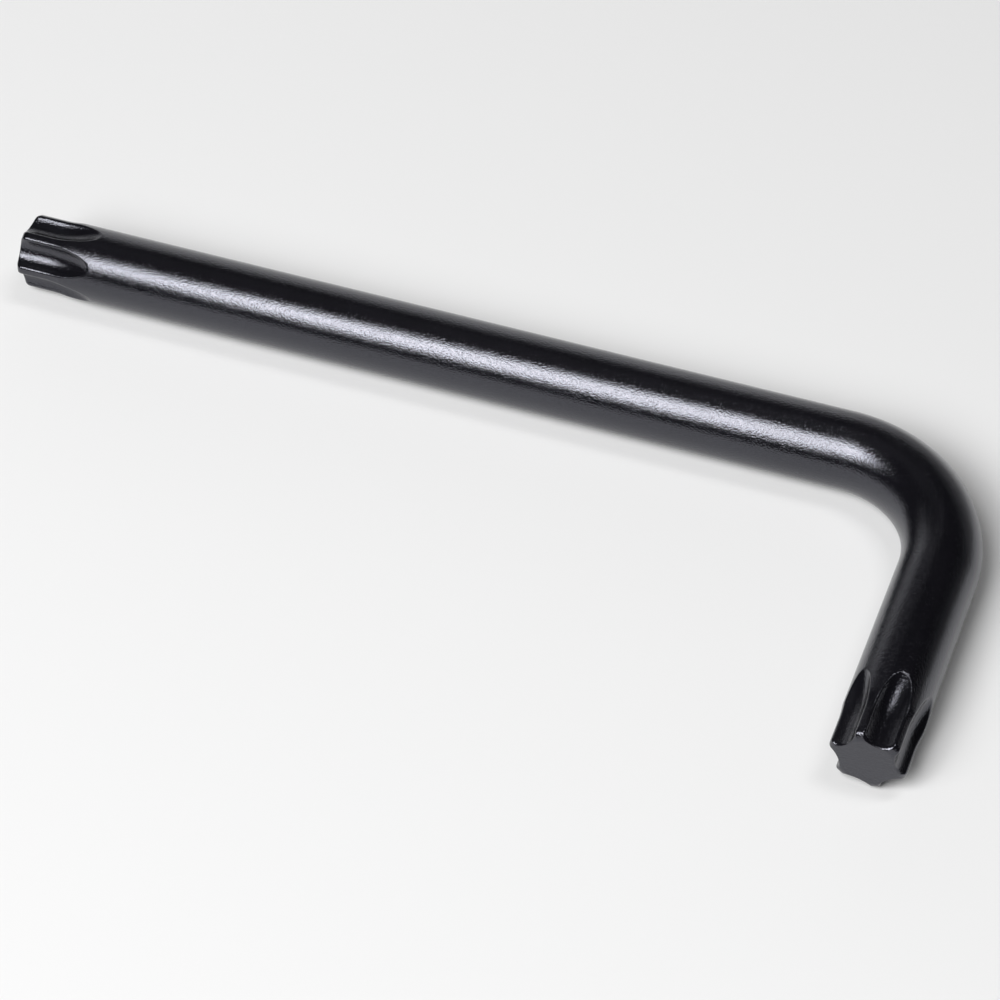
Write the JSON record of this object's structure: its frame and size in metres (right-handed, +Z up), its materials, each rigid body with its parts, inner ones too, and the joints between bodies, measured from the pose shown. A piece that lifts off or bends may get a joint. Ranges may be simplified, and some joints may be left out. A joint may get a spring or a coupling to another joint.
{
  "type": "six-lobe star key",
  "caption": "Right-angle star-drive key bent from a round black steel bar, with a six-lobe drive on the long arm and on the short arm.",
  "frame": {"origin": "middle of the key's footprint, on the surface that it lies on", "axes": "+X along the long arm, towards the bend; the short arm runs along Y, with its tip at -Y; +Z up, away from the surface"},
  "size_m": [0.0942, 0.0362, 0.007],
  "materials": {
    "black_oxide_steel": "black oxide over fine-grained hardened steel, satin"
  },
  "bodies": {
    "root": {"star_key": "black_oxide_steel"}
  },
  "joints": []
}
